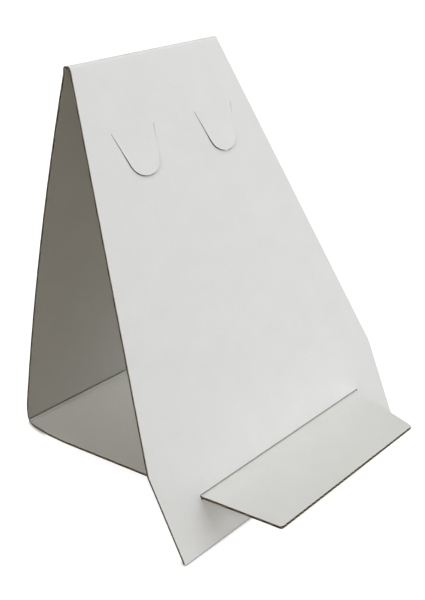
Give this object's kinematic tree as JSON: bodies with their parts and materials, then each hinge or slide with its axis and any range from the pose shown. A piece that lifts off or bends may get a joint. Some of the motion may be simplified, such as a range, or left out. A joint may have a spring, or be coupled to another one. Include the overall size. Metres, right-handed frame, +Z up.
{
  "type": "book stand",
  "caption": "Free-standing book stand folded from a sheet of white-lined corrugated board: a tapered sloping front, a back, and a base that comes out through a slot as the shelf.",
  "frame": {"origin": "on the floor, on the centre line, midway between the shelf's tip and the rear fold", "axes": "+Z up, -Y towards the reader (the way the front panel and the shelf face), +X across"},
  "size_m": [0.183, 0.1904, 0.2265],
  "materials": {
    "white_board": "matte"
  },
  "bodies": {
    "root": {"folded_stand": "white_board"}
  },
  "joints": []
}
